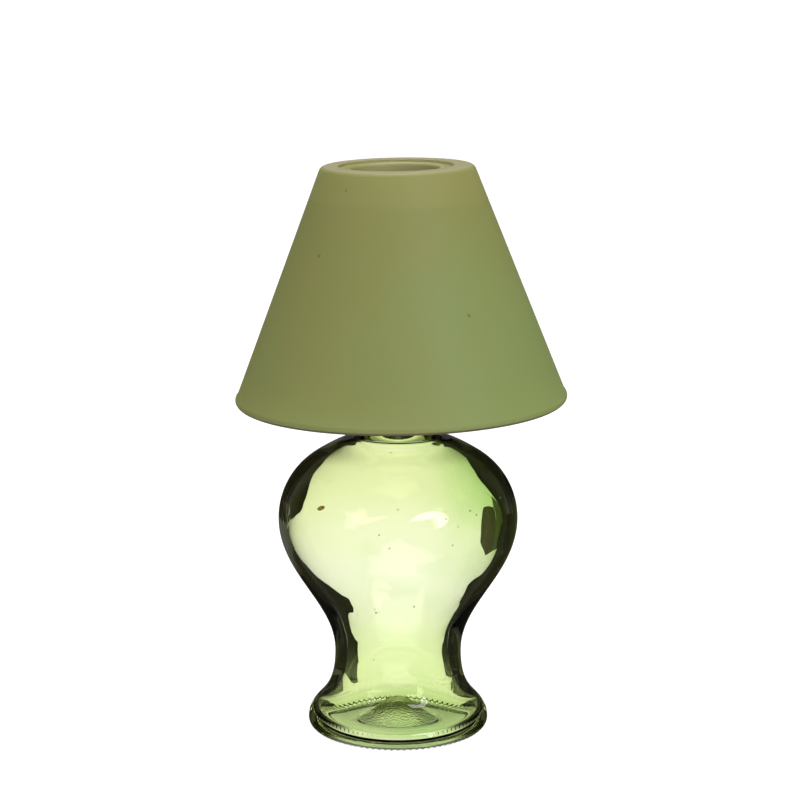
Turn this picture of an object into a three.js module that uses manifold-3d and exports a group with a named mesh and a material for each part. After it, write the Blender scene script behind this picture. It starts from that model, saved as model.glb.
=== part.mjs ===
// A tealight holder in the shape of a small table lamp, in two loose pieces of glass.
// A clear vase is the lamp's foot. A frosted shade hangs on the vase's neck as a stopper sits in a bottle:
// a boss under the shade's tealight well drops into the vase's mouth.
// Millimetres, +Z up. The origin is on the vase's axis, on the surface that its foot rests on.

import * as THREE from 'three';
import { mergeGeometries, mergeVertices } from 'three/addons/utils/BufferGeometryUtils.js';
import Module from 'manifold-3d';

// Vase, outside
const vaseHeight = 242.9;
const neckRadius = 18.7;
const lipRadius = 19.9; // fire-polished lip, a little wider than the neck
const lipHeight = 7;
const lipRound = 2.2;
const neckRootRound = 3; // hollow round between neck and shoulder
const shoulderRound = 34.4; // from the widest place of the bulb up to the neck
const bulbRadius = 54.7;
const bulbHeight = 99;
const waistRadius = 29.1;
const waistHeight = 35.6;
const heelRadius = 41.6;
const heelHeight = 3.4;

// Vase, glass
const vaseWall = 4.4;
const waistWall = 5;
const heelWall = 5.2;
const floorThickness = 4.6; // over the top of the punt
const floorEdgeHeight = 5.2; // lowest place of the floor inside, round the punt
const floorCornerRound = 1.6;
const floorCrown = 0.12; // share of the floor's radius that keeps level at its top, and below at its edge
const floorEdge = 0.6;

// Vase, underside
const puntHeight = 9.4;
const puntCrown = 0.15; // the same shares of the punt
const puntEdge = 0.4;
const ringInnerRadius = 33.2; // the bearing ring is all that touches the table
const ringOuterRadius = 37.6;
const knurlPitch = 2.7;
const knurlWidth = 1.7; // each groove across the ring
const knurlDepth = 0.5;

// How far the outline keeps upright as it leaves a wide or narrow place, as a share of its rise
const aboveWaist = 0.38;
const belowBulb = 0.39;
const aboveHeel = 0.33;
const belowWaist = 0.745;
const aboveHeelInside = 0.13;
const belowWaistInside = 0.78;
const lipSwell = 0.5; // at both ends of the swelling under the lip

// Shade, with heights from the seat plane, where its well's floor rests on the vase's lip
const shadeHeight = 106.5;
const shadeRimRadius = 75;
const shadeTopRadius = 34.1; // where the cone would meet the flat top
const shadeWall = 3.6;
const shadeBeadRadius = 2.2; // melted rim
const shadeTopThickness = 4.5;
const shadeTopRound = 3;
const wellRootRound = 1.5; // under the top, where the well hangs from it

// Tealight well and the stepped recess round its mouth
const tealightRadius = 19.2;
const tealightClearance = 0.4;
const wellDepth = 13;
const wellFloor = 3.5;
const wellWall = 3;
const wellDraft = 0.4; // narrower at the floor than at the mouth
const wellCornerRound = 2.4;
const mouthRound = 1.5;
const mouthRise = 0.6; // the mouth's rounded lip above the recess
const recessRadius = 25.6;
const recessDepth = 1.6;
const recessRound = 1.2;

// Seat of the shade on the vase
const bossLength = 6;
const bossPlay = 1.7;
const bossRound = 1.2;
const seatGap = 0.3;
const shadeLean = THREE.MathUtils.degToRad(0.95); // glass on glass: the loose shade leans a little

const turnSegments = 52;
const facetTolerance = 0.18; // between an outline's curves and their facets
const quarter = Math.PI / 2;

// Outlines are drawn in the half plane of radius and height, as curves that follow each other

function line(fromRadius, fromHeight, toRadius, toHeight) {
  const start = new THREE.Vector2(fromRadius, fromHeight);
  return new THREE.LineCurve(start, new THREE.Vector2(toRadius, toHeight));
}

function arc(centreRadius, centreHeight, round, from, to, roundUpwards = round) {
  return new THREE.EllipseCurve(centreRadius, centreHeight, round, roundUpwards, from, to, to < from);
}

function bend(...points) {
  return new THREE.CubicBezierCurve(...points.map(([radius, height]) => new THREE.Vector2(radius, height)));
}

// An S that leaves its lower and its upper end upright
function upright(lowRadius, lowHeight, lowShare, highRadius, highHeight, highShare) {
  const rise = highHeight - lowHeight;
  return bend(
    [lowRadius, lowHeight], [lowRadius, lowHeight + lowShare * rise],
    [highRadius, highHeight - highShare * rise], [highRadius, highHeight],
  );
}

// Half a dome, level on the axis and at its edge
function dome(crownHeight, crownShare, edgeRadius, edgeHeight, edgeShare) {
  return bend(
    [0, crownHeight], [crownShare * edgeRadius, crownHeight],
    [(1 - edgeShare) * edgeRadius, edgeHeight], [edgeRadius, edgeHeight],
  );
}

function reversed({ v0, v1, v2, v3 }) {
  return new THREE.CubicBezierCurve(v3, v2, v1, v0);
}

// How far a stretch of curve strays from its chord
function stray(curve, from, to) {
  const start = curve.getPoint(from);
  const chord = curve.getPoint(to).sub(start);
  const distances = [0.25, 0.5, 0.75].map((share) => {
    const point = curve.getPoint(THREE.MathUtils.lerp(from, to, share)).sub(start);
    return Math.abs(chord.cross(point)) / chord.length();
  });
  return Math.max(...distances);
}

// As few equal steps as keep the facets close to the curve
function sampled(curve) {
  let steps = 1;
  const strays = (_, i) => stray(curve, i / steps, (i + 1) / steps);
  while (Math.max(...Array.from({ length: steps }, strays)) > facetTolerance) steps += 1;
  return curve.getPoints(steps);
}

// Turns an outline that starts and ends on the axis into a closed solid
function turned(outline) {
  const points = outline.flatMap((curve, i) => sampled(curve).slice(i ? 1 : 0));
  points[0].x = 0;
  points.at(-1).x = 0;
  return new THREE.LatheGeometry(points, turnSegments).rotateX(quarter);
}

const wasm = await Module();
wasm.setup();

function toManifold(geometry) {
  const bare = geometry.clone();
  bare.deleteAttribute('normal');
  bare.deleteAttribute('uv');
  const merged = mergeVertices(bare);
  const { array } = merged.index;
  const triangles = [];
  for (let i = 0; i < array.length; i += 3) {
    const [a, b, c] = array.slice(i, i + 3);
    if (a !== b && b !== c && c !== a) triangles.push(a, b, c);
  }
  return new wasm.Manifold(new wasm.Mesh({
    numProp: 3,
    vertProperties: new Float32Array(merged.attributes.position.array),
    triVerts: new Uint32Array(triangles),
  }));
}

function toGeometry(manifold) {
  const { vertProperties, triVerts } = manifold.getMesh();
  const geometry = new THREE.BufferGeometry();
  geometry.setAttribute('position', new THREE.BufferAttribute(vertProperties, 3));
  geometry.setIndex(new THREE.BufferAttribute(triVerts, 1));
  geometry.computeVertexNormals();
  return geometry;
}

function vaseOutline() {
  const rootHeight = bulbHeight + Math.sqrt(
    (shoulderRound + neckRootRound) ** 2 - (neckRadius + neckRootRound - bulbRadius + shoulderRound) ** 2,
  );
  const rootRadius = neckRadius + neckRootRound;
  const shoulderCentre = bulbRadius - shoulderRound;
  const rootAngle = Math.atan2(rootHeight - bulbHeight, rootRadius - shoulderCentre);
  const boreRadius = neckRadius - vaseWall;
  const stemRadius = waistRadius - waistWall;
  const lipStart = vaseHeight - lipHeight;
  const lipShoulder = vaseHeight - lipRound;
  const floorRadius = heelRadius - heelWall;
  const floorTop = puntHeight + floorThickness;
  const floorCorner = floorEdgeHeight + floorCornerRound;

  const underside = [
    dome(puntHeight, puntCrown, ringInnerRadius, 0, puntEdge),
    line(ringInnerRadius, 0, ringOuterRadius, 0),
  ];
  const outside = [
    arc(ringOuterRadius, heelHeight, heelRadius - ringOuterRadius, -quarter, 0, heelHeight),
    upright(heelRadius, heelHeight, aboveHeel, waistRadius, waistHeight, belowWaist),
    upright(waistRadius, waistHeight, aboveWaist, bulbRadius, bulbHeight, belowBulb),
    arc(shoulderCentre, bulbHeight, shoulderRound, 0, rootAngle),
    arc(rootRadius, rootHeight, neckRootRound, rootAngle - Math.PI, -Math.PI),
    line(neckRadius, rootHeight, neckRadius, lipStart),
    upright(neckRadius, lipStart, lipSwell, lipRadius, lipShoulder, lipSwell),
    arc(lipRadius - lipRound, lipShoulder, lipRound, 0, quarter),
  ];
  const inside = [
    line(lipRadius - lipRound, vaseHeight, boreRadius + lipRound, vaseHeight),
    arc(boreRadius + lipRound, lipShoulder, lipRound, quarter, Math.PI),
    line(boreRadius, lipShoulder, boreRadius, rootHeight),
    arc(rootRadius, rootHeight, neckRootRound + vaseWall, -Math.PI, rootAngle - Math.PI),
    arc(shoulderCentre, bulbHeight, shoulderRound - vaseWall, rootAngle, 0),
    reversed(upright(stemRadius, waistHeight, aboveWaist, bulbRadius - vaseWall, bulbHeight, belowBulb)),
    reversed(upright(floorRadius, floorCorner, aboveHeelInside, stemRadius, waistHeight, belowWaistInside)),
    arc(floorRadius - floorCornerRound, floorCorner, floorCornerRound, 0, -quarter),
    reversed(dome(floorTop, floorCrown, floorRadius - floorCornerRound, floorEdgeHeight, floorEdge)),
  ];
  return [...underside, ...outside, ...inside];
}

// V-shaped grooves that run outwards across the bearing ring, each cut by a square bar on edge
function knurlGrooves() {
  const count = Math.round(2 * Math.PI * ringOuterRadius / knurlPitch);
  const length = heelRadius - ringInnerRadius;
  const groove = new THREE.CylinderGeometry(1, 1, length, 4)
    .scale(knurlWidth, 1, 2 * knurlDepth)
    .rotateZ(quarter)
    .translate(ringInnerRadius + length / 2, 0, -knurlDepth);
  const turns = Array.from({ length: count }, (_, i) => (2 * Math.PI * (i + 0.5)) / count);
  return mergeGeometries(turns.map((turn) => groove.clone().rotateZ(turn)));
}

function makeVase() {
  const vase = toManifold(turned(vaseOutline())).subtract(toManifold(knurlGrooves()));
  return toGeometry(vase);
}

function shadeOutline() {
  const top = wellFloor + wellDepth;
  const rim = top - shadeHeight;
  const halfWall = shadeWall / 2;

  // The cone runs from its edge at the flat top to the melted rim, half a wall outside the rim's centre
  const beadRadius = shadeRimRadius - shadeBeadRadius;
  const beadHeight = rim + shadeBeadRadius;
  const run = Math.hypot(shadeTopRadius - beadRadius, top - beadHeight);
  const coneAngle = Math.atan2(top - beadHeight, shadeTopRadius - beadRadius) - Math.acos(halfWall / run);
  const coneRadius = (height, depth) =>
    shadeTopRadius + (top - height) * Math.tan(coneAngle) - depth / Math.cos(coneAngle);
  const beadSpread = Math.asin(halfWall / shadeBeadRadius);
  const beadStart = quarter + coneAngle - beadSpread;
  const beadEnd = quarter + coneAngle + beadSpread - 2 * Math.PI;
  const onBead = (angle) => [
    beadRadius + shadeBeadRadius * Math.cos(angle),
    beadHeight + shadeBeadRadius * Math.sin(angle),
  ];
  const topRoundHeight = top - shadeTopRound;
  const topRoundRadius = coneRadius(topRoundHeight, shadeTopRound);
  const under = top - shadeTopThickness;
  const innerRoundHeight = under - shadeTopRound;
  const innerRoundRadius = coneRadius(innerRoundHeight, shadeWall + shadeTopRound);
  const onRound = (radius, height) => [
    radius + shadeTopRound * Math.cos(coneAngle),
    height + shadeTopRound * Math.sin(coneAngle),
  ];

  const wellRadius = tealightRadius + tealightClearance;
  const wellOuter = wellRadius + wellWall;
  const floorRadius = wellRadius - wellDraft;
  const ledge = top - recessDepth;
  const mouthHeight = ledge + mouthRise - mouthRound;
  const mouthStart = Math.asin((ledge - mouthHeight) / mouthRound);
  const mouthOuter = wellRadius + mouthRound * (1 + Math.cos(mouthStart));
  const bossRadius = neckRadius - vaseWall - bossPlay;

  const boss = [
    line(0, -bossLength, bossRadius - bossRound, -bossLength),
    arc(bossRadius - bossRound, bossRound - bossLength, bossRound, -quarter, 0),
    line(bossRadius, bossRound - bossLength, bossRadius, 0),
    line(bossRadius, 0, wellOuter - wellCornerRound, 0),
  ];
  const inside = [
    arc(wellOuter - wellCornerRound, wellCornerRound, wellCornerRound, -quarter, 0),
    line(wellOuter, wellCornerRound, wellOuter, under - wellRootRound),
    arc(wellOuter + wellRootRound, under - wellRootRound, wellRootRound, Math.PI, quarter),
    line(wellOuter + wellRootRound, under, innerRoundRadius, under),
    arc(innerRoundRadius, innerRoundHeight, shadeTopRound, quarter, coneAngle),
    line(...onRound(innerRoundRadius, innerRoundHeight), ...onBead(beadEnd)),
    arc(beadRadius, beadHeight, shadeBeadRadius, beadEnd, beadStart),
  ];
  const outside = [
    line(...onBead(beadStart), ...onRound(topRoundRadius, topRoundHeight)),
    arc(topRoundRadius, topRoundHeight, shadeTopRound, coneAngle, quarter),
    line(topRoundRadius, top, recessRadius, top),
    line(recessRadius, top, recessRadius, ledge + recessRound),
    arc(recessRadius - recessRound, ledge + recessRound, recessRound, 0, -quarter),
    line(recessRadius - recessRound, ledge, mouthOuter, ledge),
  ];
  const well = [
    arc(wellRadius + mouthRound, mouthHeight, mouthRound, mouthStart, Math.PI),
    line(wellRadius, mouthHeight, floorRadius, wellFloor + wellCornerRound),
    arc(floorRadius - wellCornerRound, wellFloor + wellCornerRound, wellCornerRound, 0, -quarter),
    line(floorRadius - wellCornerRound, wellFloor, 0, wellFloor),
  ];
  return [...boss, ...inside, ...outside, ...well];
}

function makeShade() {
  return toGeometry(toManifold(turned(shadeOutline())));
}

const clearGlass = new THREE.MeshStandardMaterial({
  color: 0xcfe39a, roughness: 0.04, metalness: 0, transparent: true, opacity: 0.45,
});
const frostedGlass = new THREE.MeshStandardMaterial({ color: 0x93955f, roughness: 0.85, metalness: 0 });

const vase = new THREE.Mesh(makeVase(), clearGlass);
vase.name = 'vase_base';

const shade = new THREE.Mesh(makeShade(), frostedGlass);
shade.name = 'frosted_shade';
shade.position.z = vaseHeight + seatGap + lipRadius * Math.sin(shadeLean);
shade.rotation.y = -shadeLean;

const holder = new THREE.Group();
holder.add(vase, shade);

export default holder;
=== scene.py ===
from math import acos, asin, atan2, ceil, cos, dist, hypot, pi, radians, sin, tan

import bmesh
import bpy
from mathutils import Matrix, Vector


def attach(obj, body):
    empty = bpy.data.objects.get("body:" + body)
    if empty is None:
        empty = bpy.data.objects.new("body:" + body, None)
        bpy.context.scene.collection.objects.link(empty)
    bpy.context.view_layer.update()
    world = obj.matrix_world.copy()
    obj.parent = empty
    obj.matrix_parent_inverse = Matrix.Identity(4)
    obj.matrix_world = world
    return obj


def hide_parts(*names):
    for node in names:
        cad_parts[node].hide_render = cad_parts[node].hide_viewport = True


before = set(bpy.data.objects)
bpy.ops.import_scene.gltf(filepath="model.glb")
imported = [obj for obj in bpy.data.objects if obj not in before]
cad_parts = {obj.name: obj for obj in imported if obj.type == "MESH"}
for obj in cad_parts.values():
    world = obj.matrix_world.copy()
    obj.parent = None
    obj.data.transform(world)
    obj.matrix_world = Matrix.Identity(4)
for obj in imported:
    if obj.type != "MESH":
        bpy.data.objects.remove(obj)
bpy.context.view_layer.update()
bpy.ops.object.select_all(action="DESELECT")
mm = 0.001


# Outlines are stations of (radius, height) in millimetres, for the half plane beside the axis
def alongLine(start, end, spacing=12.0):
    steps = max(1, ceil(dist(start, end) / spacing))
    return [tuple(start[k] + (end[k] - start[k]) * i / steps for k in (0, 1)) for i in range(steps + 1)]


def alongArc(centre, size, fromAngle, toAngle, sizeUp=None, spacing=2.2, turn=radians(16)):
    sizeUp = sizeUp or size
    sweep = toAngle - fromAngle
    steps = max(1, ceil(abs(sweep) / turn), ceil(abs(sweep) * size / spacing))
    angles = [fromAngle + sweep * i / steps for i in range(steps + 1)]
    return [(centre[0] + size * cos(a), centre[1] + sizeUp * sin(a)) for a in angles]


def alongBend(a, b, c, d, spacing=2.2):
    steps = max(2, ceil((dist(a, b) + dist(b, c) + dist(c, d)) / spacing))
    found = []
    for i in range(steps + 1):
        t = i / steps
        weights = ((1 - t) ** 3, 3 * t * (1 - t) ** 2, 3 * t * t * (1 - t), t ** 3)
        found.append(tuple(sum(w * p[k] for w, p in zip(weights, (a, b, c, d))) for k in (0, 1)))
    return found


# an S whose two ends stand upright
def alongUpright(low, lowShare, high, highShare):
    rise = high[1] - low[1]
    return alongBend(low, (low[0], low[1] + lowShare * rise), (high[0], high[1] - highShare * rise), high)


def joined(*runs):
    stations = []
    for run in runs:
        stations += [s for s in run if not stations or dist(s, stations[-1]) > 0.02]
    return stations


# in edit mode, picks the points of the piece that pass the test
def selectPoints(piece, test):
    bpy.ops.mesh.select_mode(type="VERT")
    mesh = bmesh.from_edit_mesh(piece.data)
    for vert in mesh.verts:
        vert.select = test(vert)
    mesh.select_flush_mode()
    bmesh.update_edit_mesh(piece.data)


# One point is extruded from station to station, the outline is spun a quarter round the axis,
# and the quarter is copied to close the round
def turnPiece(name, stations, segments):
    bpy.ops.object.select_all(action="DESELECT")
    bpy.ops.mesh.primitive_plane_add(size=mm, location=(0, 0, stations[0][1] * mm))
    piece = bpy.context.object
    piece.name = piece.data.name = name
    bpy.ops.object.transform_apply(location=True, rotation=True, scale=True)
    bpy.ops.object.mode_set(mode="EDIT")
    bpy.ops.mesh.select_all(action="SELECT")
    bpy.ops.mesh.merge(type="CENTER")
    for (radius, height), (nextRadius, nextHeight) in zip(stations, stations[1:]):
        step = ((nextRadius - radius) * mm, 0, (nextHeight - height) * mm)
        bpy.ops.mesh.extrude_vertices_move(TRANSFORM_OT_translate={"value": step})
    bpy.ops.mesh.select_all(action="SELECT")
    bpy.ops.mesh.spin(steps=segments // 4, angle=pi / 2, center=(0, 0, 0), axis=(0, 0, 1))
    bpy.ops.mesh.select_all(action="SELECT")
    bpy.ops.mesh.spin(steps=3, angle=3 * pi / 2, center=(0, 0, 0), axis=(0, 0, 1), dupli=True)
    bpy.ops.mesh.select_all(action="SELECT")
    bpy.ops.mesh.remove_doubles(threshold=0.01 * mm)
    bpy.ops.mesh.normals_make_consistent(inside=False)
    bpy.ops.object.mode_set(mode="OBJECT")
    return piece


def smoothStep(low, high, value):
    t = min(1, max(0, (value - low) / (high - low)))
    return t * t * (3 - 2 * t)


# the vase is of clear green glass; its sizes are in millimetres, with heights from the table
vase = {
    "height": 242.9, "neckRadius": 18.5, "lipRadius": 19.9, "lipHeight": 7, "lipRound": 2.2,
    "shoulderEnd": radians(58), "shoulderReach": 6, "root": (20.6, 136.2), "rootTop": 138.3,
    "coveTop": 143, "coveAngle": radians(52), "covePull": 12, "coveSweep": 17,
    "shoulderRound": 34.4, "bulbRadius": 54.7, "bulbHeight": 99,
    "waistRadius": 29.1, "waistHeight": 35.6, "heelRadius": 41.6, "heelHeight": 3.4,
    "wall": 4.1, "waistWall": 5.6, "heelWall": 4.8,
    "floorTop": 14, "floorEdge": 3.4, "floorCorner": 4.5, "puntHeight": 9.4, "puntEdge": 2.2, "hillRadius": 20,
    "ringInner": 33.2, "ringOuter": 37.6, "knurlInner": 35, "knurlOuter": 40.8, "knurlDepth": 0.8, "segments": 352,
    "wallUneven": 0.35, "wallUnevenScale": 30, "wallFine": 0.07, "wallFineScale": 9,
    "stippleRadius": 17,
}


def vaseStations(v):
    shoulderCentre = v["bulbRadius"] - v["shoulderRound"]
    bore = v["neckRadius"] - v["wall"]
    stem = v["waistRadius"] - v["waistWall"]
    lipStart, lipShoulder = v["height"] - v["lipHeight"], v["height"] - v["lipRound"]

    # the shoulder rises to a sharp root at the neck, and a cove follows it inside
    def shoulderPoint(size, angle, along=0):
        return (shoulderCentre + size * cos(angle) - along * sin(angle),
                v["bulbHeight"] + size * sin(angle) + along * cos(angle))

    root, shoulderEnd = v["root"], v["shoulderEnd"]
    innerShoulder, coveAngle = v["shoulderRound"] - v["wall"], v["coveAngle"]
    floorRadius, floorCorner = v["heelRadius"] - v["heelWall"], v["floorEdge"] + v["floorCorner"]
    puntFoot, hillFoot = (v["hillRadius"] - 1.5, v["puntEdge"] + 0.3), (v["hillRadius"], v["floorEdge"] + 0.2)
    under = joined(
        alongBend((0, v["puntHeight"]), (7, v["puntHeight"]), (11, puntFoot[1] + 0.6), puntFoot, 1.2),
        alongLine(puntFoot, (v["ringInner"] - v["puntEdge"], v["puntEdge"]), 1.5),
        alongArc((v["ringInner"] - v["puntEdge"], 0), v["puntEdge"], pi / 2, 0, spacing=0.5),
        alongLine((v["ringInner"], 0), (v["ringOuter"], 0), 1.1))
    outside = joined(
        alongArc((v["ringOuter"], v["heelHeight"]), v["heelRadius"] - v["ringOuter"], -pi / 2, 0, v["heelHeight"]),
        alongUpright((v["heelRadius"], v["heelHeight"]), 0.33, (v["waistRadius"], v["waistHeight"]), 0.745),
        alongUpright((v["waistRadius"], v["waistHeight"]), 0.38, (v["bulbRadius"], v["bulbHeight"]), 0.39),
        alongArc((shoulderCentre, v["bulbHeight"]), v["shoulderRound"], 0, shoulderEnd),
        alongBend(shoulderPoint(v["shoulderRound"], shoulderEnd),
                  shoulderPoint(v["shoulderRound"], shoulderEnd, v["shoulderReach"]),
                  (root[0] + v["shoulderReach"], root[1] - 0.7), root, 1.2),
        alongBend(root, (root[0] - 1.2, root[1] + 0.15), (v["neckRadius"], v["rootTop"] - 1.3),
                  (v["neckRadius"], v["rootTop"]), 0.6),
        alongLine((v["neckRadius"], v["rootTop"]), (v["neckRadius"], lipStart), 9),
        alongUpright((v["neckRadius"], lipStart), 0.5, (v["lipRadius"], lipShoulder), 0.5),
        alongArc((v["lipRadius"] - v["lipRound"], lipShoulder), v["lipRound"], 0, pi / 2))
    inside = joined(
        alongArc((bore + v["lipRound"], lipShoulder), v["lipRound"], pi / 2, pi),
        alongLine((bore, lipShoulder), (bore, v["coveTop"]), 9),
        alongBend((bore, v["coveTop"]), (bore, v["coveTop"] - v["covePull"]),
                  shoulderPoint(innerShoulder, coveAngle, v["coveSweep"]),
                  shoulderPoint(innerShoulder, coveAngle), 1),
        alongArc((shoulderCentre, v["bulbHeight"]), innerShoulder, coveAngle, 0),
        alongUpright((stem, v["waistHeight"]), 0.38, (v["bulbRadius"] - v["wall"], v["bulbHeight"]), 0.39)[::-1],
        alongUpright((floorRadius, floorCorner), 0.13, (stem, v["waistHeight"]), 0.78)[::-1],
        alongArc((floorRadius - v["floorCorner"], floorCorner), v["floorCorner"], 0, -pi / 2),
        alongLine((floorRadius - v["floorCorner"], v["floorEdge"]), hillFoot, 3),
        alongBend((0, v["floorTop"]), (7.5, v["floorTop"]), (12, hillFoot[1] + 1), hillFoot, 1.2)[::-1])
    return joined(under, outside, inside)


def makeVase(v):
    piece = turnPiece("vase_glass", vaseStations(v), v["segments"])

    # the spokes between the knurls of the bearing ring are pushed up into grooves, deepest in their middle
    def grooveAt(vert, offset):
        radius, height = hypot(vert.co.x, vert.co.y) / mm, vert.co.z / mm
        spoke = round((atan2(vert.co.y, vert.co.x) / (2 * pi) + 1) * v["segments"])
        onRing = height < 1 and v["knurlInner"] < radius < v["knurlOuter"]
        return onRing and spoke % 4 in offset

    bpy.ops.object.mode_set(mode="EDIT")
    for offset in (1, 2, 3), (2,):
        selectPoints(piece, lambda vert: grooveAt(vert, offset))
        bpy.ops.transform.translate(value=(0, 0, v["knurlDepth"] / 2 * mm))
    bpy.ops.object.mode_set(mode="OBJECT")
    bpy.ops.object.shade_smooth()

    # the punt is stippled underneath
    stippled = piece.data.attributes.new("stippled", "FLOAT", "POINT")
    for vert in piece.data.vertices:
        radius = hypot(vert.co.x, vert.co.y) / mm
        if vert.normal.z < -0.5 and radius < v["stippleRadius"] and vert.co.z < 12 * mm:
            stippled.data[vert.index].value = 1

    # the blown wall is uneven inside, which bends what shows through it
    blownWall = piece.vertex_groups.new(name="blown_wall")
    for vert in piece.data.vertices:
        outward = Vector((vert.co.x, vert.co.y, 0)).normalized()
        height = vert.co.z / mm
        if vert.normal.dot(outward) < -0.05 and height > 15:
            blownWall.add([vert.index], smoothStep(16, 44, height) * (1 - smoothStep(112, 134, height)), "REPLACE")
    for name in ("wallUneven", "wallFine"):
        pattern = bpy.data.textures.new(name, "CLOUDS")
        pattern.noise_scale = v[name + "Scale"] * mm
        pattern.noise_depth = 0
        wave = piece.modifiers.new(name, "DISPLACE")
        wave.texture, wave.vertex_group, wave.strength = pattern, blownWall.name, v[name] * mm
        wave.texture_coords = "LOCAL"
        bpy.ops.object.modifier_apply(modifier=wave.name)
    return piece


vaseGlass = makeVase(vase)
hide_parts("vase_base")
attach(vaseGlass, "vase")
print("vase", len(vaseGlass.data.polygons), "faces")

# the shade is of frosted green glass, with heights from its seat plane on the vase's lip
shade = {
    "height": 106.5, "rimRadius": 75, "topRadius": 34.1, "wall": 3.6, "bead": 2.2,
    "topThickness": 4.5, "topRound": 3, "wellRoot": 1.5,
    "wellRadius": 19.6, "wellDepth": 13, "wellFloor": 3.5, "wellWall": 3, "draft": 0.4, "wellCorner": 2.4,
    "mouthRound": 1.5, "mouthRise": 0.6, "recessRadius": 25.6, "recessDepth": 1.6, "recessRound": 1.2,
    "bossRadius": 12.6, "bossLength": 6, "bossRound": 1.2,
    "seat": 243.53, "lean": radians(0.95), "wellDrift": -0.9, "segments": 192,
}


def shadeStations(s):
    top = s["wellFloor"] + s["wellDepth"]
    rim = top - s["height"]
    beadRadius, beadHeight = s["rimRadius"] - s["bead"], rim + s["bead"]
    run = hypot(s["topRadius"] - beadRadius, top - beadHeight)
    slope = atan2(top - beadHeight, s["topRadius"] - beadRadius) - acos(s["wall"] / 2 / run)

    def cone(height, depth):
        return s["topRadius"] + (top - height) * tan(slope) - depth / cos(slope)

    def rounded(radius, height):
        return radius + s["topRound"] * cos(slope), height + s["topRound"] * sin(slope)

    spread = asin(s["wall"] / 2 / s["bead"])
    beadStart, beadEnd = pi / 2 + slope - spread, pi / 2 + slope + spread - 2 * pi
    outerRound = (cone(top - s["topRound"], s["topRound"]), top - s["topRound"])
    under = top - s["topThickness"]
    innerRound = (cone(under - s["topRound"], s["wall"] + s["topRound"]), under - s["topRound"])
    wellOuter, floorRadius = s["wellRadius"] + s["wellWall"], s["wellRadius"] - s["draft"]
    ledge = top - s["recessDepth"]
    mouthHeight = ledge + s["mouthRise"] - s["mouthRound"]
    mouthStart = asin((ledge - mouthHeight) / s["mouthRound"])
    bossCentre = (s["bossRadius"] - s["bossRound"], s["bossRound"] - s["bossLength"])
    beadCentre = (beadRadius, beadHeight)
    bead = alongArc(beadCentre, s["bead"], beadEnd, beadStart)
    boss = joined(
        alongLine((0, -s["bossLength"]), (bossCentre[0], -s["bossLength"]), 4),
        alongArc(bossCentre, s["bossRound"], -pi / 2, 0),
        alongLine((s["bossRadius"], bossCentre[1]), (s["bossRadius"], -0.3), 3),
        alongLine((s["bossRadius"] + 0.3, 0), (wellOuter - s["wellCorner"], 0), 3))
    inside = joined(
        alongArc((wellOuter - s["wellCorner"], s["wellCorner"]), s["wellCorner"], -pi / 2, 0),
        alongLine((wellOuter, s["wellCorner"]), (wellOuter, under - s["wellRoot"]), 4),
        alongArc((wellOuter + s["wellRoot"], under - s["wellRoot"]), s["wellRoot"], pi, pi / 2),
        alongLine((wellOuter + s["wellRoot"], under), (innerRound[0], under), 4),
        alongArc(innerRound, s["topRound"], pi / 2, slope),
        alongLine(rounded(*innerRound), bead[0]),
        bead)
    outside = joined(
        alongLine(bead[-1], rounded(*outerRound)),
        alongArc(outerRound, s["topRound"], slope, pi / 2),
        alongLine((outerRound[0], top), (s["recessRadius"] + 0.5, top), 3),
        alongArc((s["recessRadius"] + 0.5, top - 0.5), 0.5, pi / 2, pi),
        alongArc((s["recessRadius"] - s["recessRound"], ledge + s["recessRound"]), s["recessRound"], 0, -pi / 2),
        alongLine((s["recessRadius"] - s["recessRound"], ledge),
                  (s["wellRadius"] + s["mouthRound"] * (1 + cos(mouthStart)), ledge)))
    well = joined(
        alongArc((s["wellRadius"] + s["mouthRound"], mouthHeight), s["mouthRound"], mouthStart, pi),
        alongLine((s["wellRadius"], mouthHeight), (floorRadius, s["wellFloor"] + s["wellCorner"]), 4),
        alongArc((floorRadius - s["wellCorner"], s["wellFloor"] + s["wellCorner"]), s["wellCorner"], 0, -pi / 2),
        alongLine((floorRadius - s["wellCorner"], s["wellFloor"]), (0, s["wellFloor"]), 4))
    return joined(boss, inside, outside, well)


shadeGlass = turnPiece("shade_glass", shadeStations(shade), shade["segments"])

# the well was pressed a little aside of the cone's axis
bpy.ops.object.mode_set(mode="EDIT")
selectPoints(shadeGlass, lambda vert: hypot(vert.co.x, vert.co.y) < 23 * mm)
bpy.ops.transform.translate(
    value=(shade["wellDrift"] * mm, 0, 0), use_proportional_edit=True,
    proportional_edit_falloff="SMOOTH", proportional_size=9 * mm)
bpy.ops.object.mode_set(mode="OBJECT")
bpy.ops.object.shade_smooth()
shadeGlass.rotation_euler = (0, -shade["lean"], 0)
shadeGlass.location = (0, 0, shade["seat"] * mm)
bpy.ops.object.transform_apply(location=True, rotation=True, scale=True)
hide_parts("frosted_shade")
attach(shadeGlass, "shade")
print("shade", len(shadeGlass.data.polygons), "faces")


# node helpers: each works on the tree that is being built
def newMaterial(name):
    made = bpy.data.materials.new(name)
    made.use_nodes = True
    return made, made.node_tree, made.node_tree.nodes["Principled BSDF"]


def newGroup(name, inputs, outputs):
    tree = bpy.data.node_groups.new(name, "ShaderNodeTree")
    kinds = {"vector": "NodeSocketVector", "value": "NodeSocketFloat", "colour": "NodeSocketColor"}
    for direction, sockets in (("INPUT", inputs), ("OUTPUT", outputs)):
        for socketName, kind in sockets.items():
            tree.interface.new_socket(name=socketName, in_out=direction, socket_type=kinds[kind])
    given, made = tree.nodes.new("NodeGroupInput"), tree.nodes.new("NodeGroupOutput")
    return tree, given.outputs, made.inputs


def connect(tree, value, socket):
    if isinstance(value, bpy.types.NodeSocket):
        tree.links.new(value, socket)
    else:
        socket.default_value = value


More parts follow.
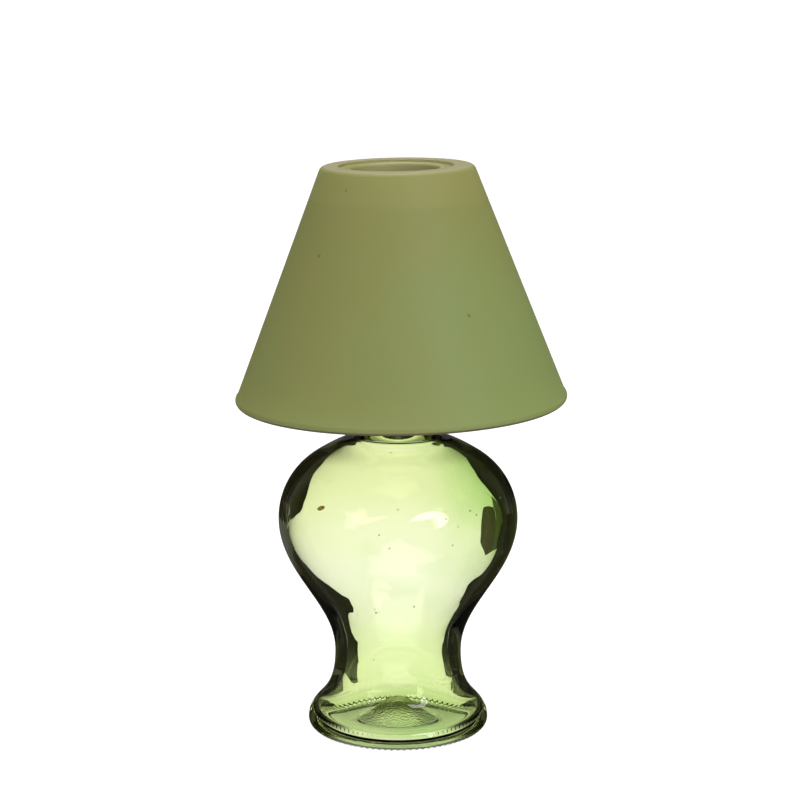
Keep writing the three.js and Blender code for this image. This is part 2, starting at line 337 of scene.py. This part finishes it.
def addNode(tree, kind, sockets=None, **settings):
    made = tree.nodes.new("ShaderNode" + kind)
    for name, value in settings.items():
        setattr(made, name, value)
    for name, value in (sockets or {}).items():
        connect(tree, value, made.inputs[name])
    return made


def calc(tree, operation, *values):
    made = addNode(tree, "Math", operation=operation)
    for socket, value in zip(made.inputs, values):
        connect(tree, value, socket)
    return made.outputs[0]


def blend(tree, factor, first, second):
    return addNode(tree, "Mix", {"Factor": factor, "A": first, "B": second}, data_type="RGBA").outputs["Result"]


def fadeBetween(tree, value, low, high):
    return addNode(tree, "MapRange", {"Value": value, "From Min": low, "From Max": high},
                   interpolation_type="SMOOTHSTEP").outputs["Result"]


def noise(tree, place, scale, detail=2.0, roughness=0.5):
    return addNode(tree, "TexNoise", {"Vector": place, "Scale": scale, "Detail": detail, "Roughness": roughness})


def fromAxis(tree, place):
    squares = [calc(tree, "MULTIPLY", place[k], place[k]) for k in (0, 1)]
    return calc(tree, "SQRT", calc(tree, "ADD", *squares))


def useGroup(tree, group, sockets):
    made = addNode(tree, "Group", node_tree=group)
    for name, value in sockets.items():
        connect(tree, value, made.inputs[name])
    return made.outputs


# small marks in glass, as masks: seeds (tiny bubbles) and short hair scratches
def makeGlassMarks():
    tree, given, made = newGroup("glassMarks", {
        "Place": "vector", "Seed Spacing": "value", "Seed Size": "value", "Scratch Scale": "value",
    }, {"Seeds": "value", "Scratches": "value"})
    perMetre = calc(tree, "DIVIDE", 1.0, given["Seed Spacing"])
    cell = addNode(tree, "TexVoronoi", {"Vector": given["Place"], "Scale": perMetre, "Randomness": 1.0})
    chance = addNode(tree, "SeparateColor", {"Color": cell.outputs["Color"]}).outputs[0]
    size = calc(tree, "MULTIPLY", calc(tree, "DIVIDE", given["Seed Size"], given["Seed Spacing"]), chance)
    core = calc(tree, "MULTIPLY", size, 0.45)
    connect(tree, fadeBetween(tree, cell.outputs["Distance"], size, core), made["Seeds"])
    turned = addNode(tree, "Mapping", {
        "Vector": given["Place"], "Rotation": (0.5, 0.9, 0.35), "Scale": (9, 1.1, 1.1)})
    hair = noise(tree, turned.outputs[0], given["Scratch Scale"], 1.0)
    patch = noise(tree, given["Place"], 31.0, 1.0)
    thin = fadeBetween(tree, calc(tree, "ABSOLUTE", calc(tree, "SUBTRACT", hair.outputs[0], 0.5)), 0.012, 0.0)
    connect(tree, calc(tree, "MULTIPLY", thin, fadeBetween(tree, patch.outputs[0], 0.66, 0.78)), made["Scratches"])
    return tree


# a soft cloudy change from one tint to another, which a shift can lead to one side of the piece
def makeGlassTint():
    tree, given, made = newGroup("glassTint", {
        "Place": "vector", "Shift": "value", "Scale": "value", "Low": "value", "High": "value",
        "First": "colour", "Second": "colour",
    }, {"Tint": "colour"})
    cloud = calc(tree, "ADD", noise(tree, given["Place"], given["Scale"], 2.0, 0.45).outputs[0], given["Shift"])
    second = fadeBetween(tree, cloud, given["Low"], given["High"])
    connect(tree, blend(tree, second, given["First"], given["Second"]), made["Tint"])
    return tree


glassMarks, glassTint = makeGlassMarks(), makeGlassTint()

clearLook = {
    "ior": 1.51, "depth": (0.71, 0.83, 0.1, 1), "density": 47,
    "paintedLightTints": ((2, (0.77, 0.884, 0.58)), (9, (0.85, 0.904, 0.676)), (28, (0.91, 0.954, 0.79)),
              (50, (0.955, 0.985, 0.88)), (62, (1, 1, 1)), (80, (1, 1, 0.98)), (100, (0.935, 0.955, 0.8)),
              (134, (0.915, 0.94, 0.75)), (140, (0.81, 0.904, 0.53))),
    "greenerPaintedShade": (0.68, 0.83, 0.5, 1), "cloudScale": 14, "cloudFade": (0.46, 0.8),
    "shadeSideShift": 6.5, "sideRise": (0.07, 0.1),
    "seedSpacing": 0.009, "seedSize": 0.0006, "seedColour": (0.16, 0.19, 0.08, 1), "seedHeight": 0.0002,
    "scratchScale": 60, "scratchRough": 0.12, "scratchDepth": 0.00002,
    "stipplePitch": 0.0009, "stippleRough": 0.1, "stippleSlope": 0.16,
    "fleckPlace": (-0.0338, -0.0389, 0.1132), "fleckSize": (0.0025, 0.0025, 0.001),
    "fleckTurn": radians(-24), "fleckColour": (0.06, 0.03, 0.001, 1),
}


def clearGreenGlass(look):
    made, tree, shader = newMaterial("clearGreenGlass")
    place = addNode(tree, "TexCoord").outputs["Object"]
    marks = useGroup(tree, glassMarks, {
        "Place": place, "Seed Spacing": look["seedSpacing"], "Seed Size": look["seedSize"],
        "Scratch Scale": look["scratchScale"]})
    across = addNode(tree, "SeparateXYZ", {0: place}).outputs
    # The base colour is tinted by height, palest in the middle of the body and greener towards the foot and the
    # neck: painted light and shade for the light through the glass, brightest mid-body
    tallest = look["paintedLightTints"][-1][0] * mm
    paintedLightTints = addNode(tree, "ValToRGB", {"Fac": calc(tree, "DIVIDE", across[2], tallest)})
    stops = paintedLightTints.color_ramp.elements
    stops[0].color, stops[1].color = (*look["paintedLightTints"][0][1], 1), (*look["paintedLightTints"][-1][1], 1)
    stops[0].position = look["paintedLightTints"][0][0] * mm / tallest
    for height, colour in look["paintedLightTints"][1:-1]:
        stops.new(height * mm / tallest).color = (*colour, 1)
    # cloudy greener patches are led to the right side, from about 70 to 100 mm up and above, where they are a
    # painted shade
    shift = calc(tree, "MULTIPLY", fadeBetween(tree, across[2], *look["sideRise"]), look["shadeSideShift"])
    cloud = useGroup(tree, glassTint, {
        "Place": place, "Shift": calc(tree, "MULTIPLY", across[0], shift), "Scale": look["cloudScale"],
        "Low": look["cloudFade"][0], "High": look["cloudFade"][1],
        "First": paintedLightTints.outputs[0], "Second": look["greenerPaintedShade"]})
    fleck = addNode(tree, "Mapping", {
        "Vector": place, "Location": look["fleckPlace"], "Rotation": (0, look["fleckTurn"], 0),
        "Scale": look["fleckSize"]}, vector_type="TEXTURE")
    fromFleck = addNode(tree, "VectorMath", {0: fleck.outputs[0]}, operation="LENGTH").outputs["Value"]
    fleckSpot = fadeBetween(tree, fromFleck, 1.0, 0.75)
    colour = blend(tree, marks["Seeds"], cloud["Tint"], look["seedColour"])
    colour = blend(tree, fleckSpot, colour, look["fleckColour"])
    connect(tree, colour, shader.inputs["Base Color"])
    stippled = addNode(tree, "Attribute", attribute_name="stippled").outputs["Fac"]
    rough = calc(tree, "MULTIPLY", stippled, look["stippleRough"])
    scratched = calc(tree, "MULTIPLY", marks["Scratches"], look["scratchRough"])
    connect(tree, calc(tree, "MAXIMUM", rough, scratched), shader.inputs["Roughness"])
    dots = addNode(tree, "TexVoronoi", {"Vector": place, "Scale": 1 / look["stipplePitch"]})
    stipple = calc(tree, "MULTIPLY", dots.outputs["Distance"], stippled)
    height = calc(tree, "MULTIPLY", stipple, look["stipplePitch"] * look["stippleSlope"])
    height = calc(tree, "ADD", height, calc(tree, "MULTIPLY", marks["Seeds"], look["seedHeight"]))
    height = calc(tree, "SUBTRACT", height, calc(tree, "MULTIPLY", marks["Scratches"], look["scratchDepth"]))
    relief = addNode(tree, "Bump", {"Height": height, "Distance": 1.0, "Strength": 1.0})
    connect(tree, relief.outputs[0], shader.inputs["Normal"])
    shader.inputs["IOR"].default_value = look["ior"]
    shader.inputs["Transmission Weight"].default_value = 1
    depth = addNode(tree, "VolumeAbsorption", {"Color": look["depth"], "Density": look["density"]})
    connect(tree, depth.outputs[0], tree.nodes["Material Output"].inputs["Volume"])
    return made


frostedLook = {
    "ior": 1.5, "roughness": 0.6, "transmission": 0.3,
    "shadedWarm": (0.305, 0.305, 0.086, 1), "litCool": (0.272, 0.335, 0.102, 1), "cloudScale": 16,
    "cloudFade": (0.25, 0.8), "paintedShadeSlant": (4, -4), "middle": 0.19,
    "paintedTopLight": (0.37, 0.335, 0.17, 1), "paintedTopLightPlace": (0.2593, 0.2599),
    "paintedWellLight": (0.42, 0.39, 0.17, 1), "paintedWellLightPlace": (0.0215, 0.0202),
    "paintedSeatShadow": (0.93, 0.95, 0.9, 1), "paintedSeatShadowPlace": (0.2465, 0.2445),
    "paintedRimShade": (0.13, 0.11, 0.04, 1), "paintedRimShadePlace": (0.1551, 0.1546),
    "seedSpacing": 0.016, "seedSize": 0.0012, "seedColour": (0.16, 0.15, 0.05, 1),
    "scratchScale": 45, "scratchPolish": 0.1,
    "grain": 0.0006, "grainHeight": 0.00002, "grainRough": 0.1,
    "speckPlace": (0.03036, -0.04909, 0.20082), "speckSize": 0.0009,
}


def frostedGreenGlass(look):
    made, tree, shader = newMaterial("frostedGreenGlass")
    place = addNode(tree, "TexCoord").outputs["Object"]
    marks = useGroup(tree, glassMarks, {
        "Place": place, "Seed Spacing": look["seedSpacing"], "Seed Size": look["seedSize"],
        "Scratch Scale": look["scratchScale"]})
    across = addNode(tree, "SeparateXYZ", {0: place}).outputs
    # random cloudy tone, led browner towards the upper left and greener towards the lower right: a painted shade on
    # the side away from the light
    paintedShadeSlant = calc(tree, "ADD", calc(tree, "MULTIPLY", across[0], look["paintedShadeSlant"][0]),
                 calc(tree, "MULTIPLY", calc(tree, "SUBTRACT", across[2], look["middle"]), look["paintedShadeSlant"][1]))
    cloud = useGroup(tree, glassTint, {
        "Place": place, "Shift": paintedShadeSlant, "Scale": look["cloudScale"],
        "Low": look["cloudFade"][0], "High": look["cloudFade"][1],
        "First": look["shadedWarm"], "Second": look["litCool"]})
    speck = addNode(tree, "VectorMath", {0: place, 1: look["speckPlace"]}, operation="DISTANCE").outputs["Value"]
    speck = fadeBetween(tree, speck, look["speckSize"], look["speckSize"] * 0.6)
    away = fromAxis(tree, across)
    # a painted shadow of the well, darkening the shade a little below the well's seat
    paintedSeatShade = blend(tree, fadeBetween(tree, across[2], *look["paintedSeatShadowPlace"]), (1.0, 1.0, 1.0, 1.0), look["paintedSeatShadow"])
    colour = addNode(tree, "Mix", {"Factor": 1.0, "A": cloud["Tint"], "B": paintedSeatShade},
                     data_type="RGBA", blend_type="MULTIPLY").outputs["Result"]
    # a painted light on the flat top and a painted shade under the rim bead; the top and the rim are level in the
    # shade, which leans
    level = calc(tree, "SUBTRACT", across[2], calc(tree, "MULTIPLY", across[0], tan(shade["lean"])))
    colour = blend(tree, fadeBetween(tree, level, *look["paintedTopLightPlace"]), colour, look["paintedTopLight"])
    # a painted shade along the underside of the rim bead
    colour = blend(tree, fadeBetween(tree, level, *look["paintedRimShadePlace"]), colour, look["paintedRimShade"])
    # a painted light on the inside of the well
    colour = blend(tree, fadeBetween(tree, away, *look["paintedWellLightPlace"]), colour, look["paintedWellLight"])
    colour = blend(tree, marks["Seeds"], colour, look["seedColour"])
    colour = blend(tree, speck, colour, look["seedColour"])
    connect(tree, colour, shader.inputs["Base Color"])
    grain = noise(tree, place, 1 / look["grain"], 2.0)
    change = calc(tree, "MULTIPLY", grain.outputs[0], look["grainRough"])
    rough = calc(tree, "ADD", look["roughness"] - look["grainRough"] / 2, change)
    polished = calc(tree, "MULTIPLY", marks["Scratches"], look["scratchPolish"])
    connect(tree, calc(tree, "SUBTRACT", rough, polished), shader.inputs["Roughness"])
    height = calc(tree, "MULTIPLY", grain.outputs[0], look["grainHeight"])
    relief = addNode(tree, "Bump", {"Height": height, "Distance": 1.0})
    connect(tree, relief.outputs[0], shader.inputs["Normal"])
    shader.inputs["IOR"].default_value = look["ior"]
    shader.inputs["Transmission Weight"].default_value = look["transmission"]
    return made


vaseGlass.data.materials.append(clearGreenGlass(clearLook))
shadeGlass.data.materials.append(frostedGreenGlass(frostedLook))
print("materials done")


# pale floor, soft lights, and dark cards that draw the edges of the clear glass
studio = {
    "floorSize": 40, "floorWhite": 0.26, "floorDark": 0.02, "floorGlow": 0.97, "airWhite": 1.06,
    "air": ((0.04, 0.9), (0.2, 0.42), (0.5, 0.22)), "floorShare": 0.06, "airShare": 0.06,
    "floorBehind": (radians(40), radians(60)), "airBehind": (radians(12), radians(24)), "airTop": (0.55, 0.3),
    "frontStrip": 0.8, "frontSide": (0.16, 0.08), "frontStart": (-0.08, -0.12),
    "underEdge": (0.06, 0.048), "underSide": (0.036, 0.022),
    "roomDark": (0.05, 0.045, 0.045, 1), "roomBright": (1, 0.97, 0.96, 1), "cameraPlace": (0.0009, -0.9854, 0.3635),
    "pitch": radians(12.03), "lens": 100.1,
}

bpy.ops.object.select_all(action="DESELECT")
bpy.ops.mesh.primitive_plane_add(size=studio["floorSize"], location=(0, 0, 0))
floor = bpy.context.object
floor.name = "studio_floor"


# Rays that met a mirror on their way, in the glass or on it, see the studio dark, except below the
# glass, in a strip before it and, a little, behind it. Others see it bright.
def brightPlace(tree, x, y, low, high):
    aside = calc(tree, "ARCTAN2", calc(tree, "ABSOLUTE", x), y)
    return fadeBetween(tree, aside, high, low)


def mirrorRay(tree):
    return calc(tree, "MINIMUM", addNode(tree, "LightPath").outputs["Glossy Depth"], 1.0)


floorPaint, tree, shader = newMaterial("paleFloor")
spot = addNode(tree, "SeparateXYZ", {0: addNode(tree, "NewGeometry").outputs["Position"]}).outputs
openPlace = brightPlace(tree, spot[0], spot[1], *studio["floorBehind"])
openPlace = calc(tree, "MULTIPLY", openPlace, studio["floorShare"])
aside = calc(tree, "ABSOLUTE", spot[0])
front = calc(tree, "MULTIPLY", fadeBetween(tree, aside, *studio["frontSide"]),
             fadeBetween(tree, spot[1], *studio["frontStart"]))
openPlace = calc(tree, "MAXIMUM", openPlace, calc(tree, "MULTIPLY", front, studio["frontStrip"]))
under = calc(tree, "MULTIPLY", fadeBetween(tree, fromAxis(tree, spot), *studio["underEdge"]),
             fadeBetween(tree, aside, *studio["underSide"]))
openPlace = calc(tree, "MAXIMUM", openPlace, under)
veil = calc(tree, "MULTIPLY", mirrorRay(tree), calc(tree, "SUBTRACT", 1.0, openPlace))
white, dark = (*[studio["floorWhite"]] * 3, 1), (*[studio["floorDark"]] * 3, 1)
connect(tree, blend(tree, veil, white, dark), shader.inputs["Base Color"])
shader.inputs["Roughness"].default_value = 0.9
shader.inputs["Specular IOR Level"].default_value = 0
connect(tree, blend(tree, veil, (1.0, 1.0, 1.0, 1.0), (0.0, 0.0, 0.0, 1.0)), shader.inputs["Emission Color"])
shader.inputs["Emission Strength"].default_value = studio["floorGlow"]
floor.data.materials.append(floorPaint)

# The cards' corners in millimetres, behind the glass as the camera sees it. They are cut for one
# side and copied to the other three, so wide clear strips lie along both axes, narrow ones between.
cards = {
    "height": 1, "rise": 560, "wallFrom": 700, "shade": (0.02, 0.017, 0.011, 1),
    "near": ((50, 44), (54, 88), (60, 136), (82, 165), (108, 205), (135, 180), (160, 140), (154, 100),
             (150, 66), (146, 50), (140, 40), (128, 35), (117, 36), (104, 43), (90, 47)),
    "right": ((108, 205), (145, 240), (150, 300), (165, 420), (150, 520), (144, 640), (138, 760), (146, 880),
              (165, 980), (600, 760), (300, 390), (150, 205), (130, 150)),
    "left": ((-112, 430), (-124, 396), (-165, 372), (-215, 345), (-330, 320), (-480, 340), (-600, 760), (-205, 980),
             (-165, 800), (-130, 590), (-114, 496)),
    "low": ((106, 205), (114, 232), (128, 262), (136, 300), (170, 330), (300, 392), (350, 380),
            (310, 250), (230, 150), (170, 130), (140, 140)),
    "ringOuter": 56, "ringInner": 43.2, "ringHeight": 0.5, "ringGap": 28,
}
strip = {
    "corners": ((86, 406), (79, 340), (72, 256), (76, 202), (92, 205), (110, 256), (116, 340), (114, 406)),
    "shade": (0.085, 0.075, 0.045, 1),
}
haze = {
    "corners": ((92, 205), (104, 256), (116, 340), (114, 406), (134, 520), (165, 420), (150, 300),
                (145, 240), (108, 205)),
    "shade": (0.12, 0.125, 0.07, 1),
}


def darken(card, colour):
    paint, tree, shader = newMaterial(card.name + "_paint")
    shader.inputs["Base Color"].default_value = colour
    shader.inputs["Specular IOR Level"].default_value = 0
    card.data.materials.append(paint)
    card.visible_camera = card.visible_diffuse = card.visible_shadow = False


def cutCard(name, corners, height, colour, wallFrom=None, rise=0, copies=3):
    bpy.ops.object.select_all(action="DESELECT")
    bpy.ops.mesh.primitive_plane_add(size=mm, location=(corners[0][0] * mm, corners[0][1] * mm, height * mm))
    card = bpy.context.object
    card.name = name
    bpy.ops.object.transform_apply(location=True, rotation=True, scale=True)
    bpy.ops.object.mode_set(mode="EDIT")
    bpy.ops.mesh.select_all(action="SELECT")
    bpy.ops.mesh.merge(type="CENTER")
    for (x, y), (nextX, nextY) in zip(corners, corners[1:]):
        step = ((nextX - x) * mm, (nextY - y) * mm, 0)
        bpy.ops.mesh.extrude_vertices_move(TRANSFORM_OT_translate={"value": step})
    bpy.ops.mesh.select_all(action="SELECT")
    bpy.ops.mesh.edge_face_add()
    if wallFrom:
        selectPoints(card, lambda vert: vert.co.y > wallFrom * mm)
        bpy.ops.mesh.extrude_region_move(TRANSFORM_OT_translate={"value": (0, 0, rise * mm)})
    bpy.ops.mesh.select_all(action="SELECT")
    if copies:
        bpy.ops.mesh.spin(steps=copies, angle=copies * pi / 2, center=(0, 0, 0), axis=(0, 0, 1), dupli=True)
    bpy.ops.object.mode_set(mode="OBJECT")
    darken(card, colour)


for level, part in enumerate(("near", "right", "left"), 1):
    cutCard("card_" + part, cards[part], level * cards["height"], cards["shade"],
            None if part == "near" else cards["wallFrom"], cards["rise"])

# a card round the foot on the left and right, open at the front and behind
bpy.ops.object.select_all(action="DESELECT")
bpy.ops.mesh.primitive_circle_add(
    vertices=48, radius=cards["ringOuter"] * mm, location=(0, 0, cards["ringHeight"] * mm), fill_type="NGON")
ringCard = bpy.context.object
ringCard.name = "card_ring"
bpy.ops.object.mode_set(mode="EDIT")
bpy.ops.mesh.inset(thickness=(cards["ringOuter"] - cards["ringInner"]) * mm)
bpy.ops.mesh.delete(type="FACE")
selectPoints(ringCard, lambda vert: abs(vert.co.x) < cards["ringGap"] * mm)
bpy.ops.mesh.delete(type="VERT")
bpy.ops.object.mode_set(mode="OBJECT")
darken(ringCard, cards["shade"])

cutCard("card_low", cards["low"], 6 * cards["height"], cards["shade"], copies=0)
for level, (name, card) in enumerate((("card_strip", strip), ("card_haze", haze)), 4):
    cutCard(name, card["corners"], level * cards["height"], card["shade"])


def softLight(name, place, aim, size, power, colour=(1, 1, 1)):
    data = bpy.data.lights.new(name, "AREA")
    data.shape, data.size, data.size_y, data.energy, data.color = "ELLIPSE", size[0], size[1], power, colour
    light = bpy.data.objects.new(name, data)
    light.location = place
    light.rotation_euler = (Vector(aim) - Vector(place)).to_track_quat("-Z", "Y").to_euler()
    bpy.context.scene.collection.objects.link(light)
    return light


softLight("overhead", (0, 0.2, 1.6), (0, 0, 0.1), (1.6, 1.6), 27)
softLight("fromRight", (0.9, -1.4, 0.8), (0, 0, 0.15), (1.1, 0.8), 12.5)
softLight("fromLeft", (-1.55, -1.25, 0.8), (0, 0, 0.15), (0.9, 0.9), 2.7)

# The camera sees white air, and what passes straight through the glass sees it fade upwards
world = bpy.data.worlds.new("studioAir")
bpy.context.scene.world = world
world.use_nodes = True
tree = world.node_tree
ray = addNode(tree, "SeparateXYZ", {0: addNode(tree, "TexCoord").outputs["Generated"]}).outputs
fade = addNode(tree, "ValToRGB", {"Fac": ray[2]})
stops = fade.color_ramp.elements
stops.new(0.2)
for stop, (height, brightness) in zip(stops, studio["air"]):
    stop.position, stop.color = height, (*[brightness] * 3, 1)
behind = calc(tree, "MULTIPLY", brightPlace(tree, ray[0], ray[1], *studio["airBehind"]),
              fadeBetween(tree, ray[2], *studio["airTop"]))
behind = calc(tree, "MULTIPLY", behind, studio["airShare"])
room = blend(tree, behind, studio["roomDark"], studio["roomBright"])
diffuse = addNode(tree, "LightPath").outputs["Is Diffuse Ray"]
mirrored = calc(tree, "MULTIPLY", mirrorRay(tree), calc(tree, "SUBTRACT", 1.0, diffuse))
seen = blend(tree, mirrored, fade.outputs[0], room)
seen = blend(tree, addNode(tree, "LightPath").outputs["Is Camera Ray"], seen, (*[studio["airWhite"]] * 3, 1))
connect(tree, seen, tree.nodes["Background"].inputs["Color"])
bpy.context.scene.view_settings.view_transform = "Standard"

camData = bpy.data.cameras.new("camera")
camData.lens, camData.sensor_width = studio["lens"], 36
camera = bpy.data.objects.new("camera", camData)
camera.location = studio["cameraPlace"]
camera.rotation_euler = (pi / 2 - studio["pitch"], 0, 0)
bpy.context.scene.collection.objects.link(camera)
bpy.context.scene.camera = camera
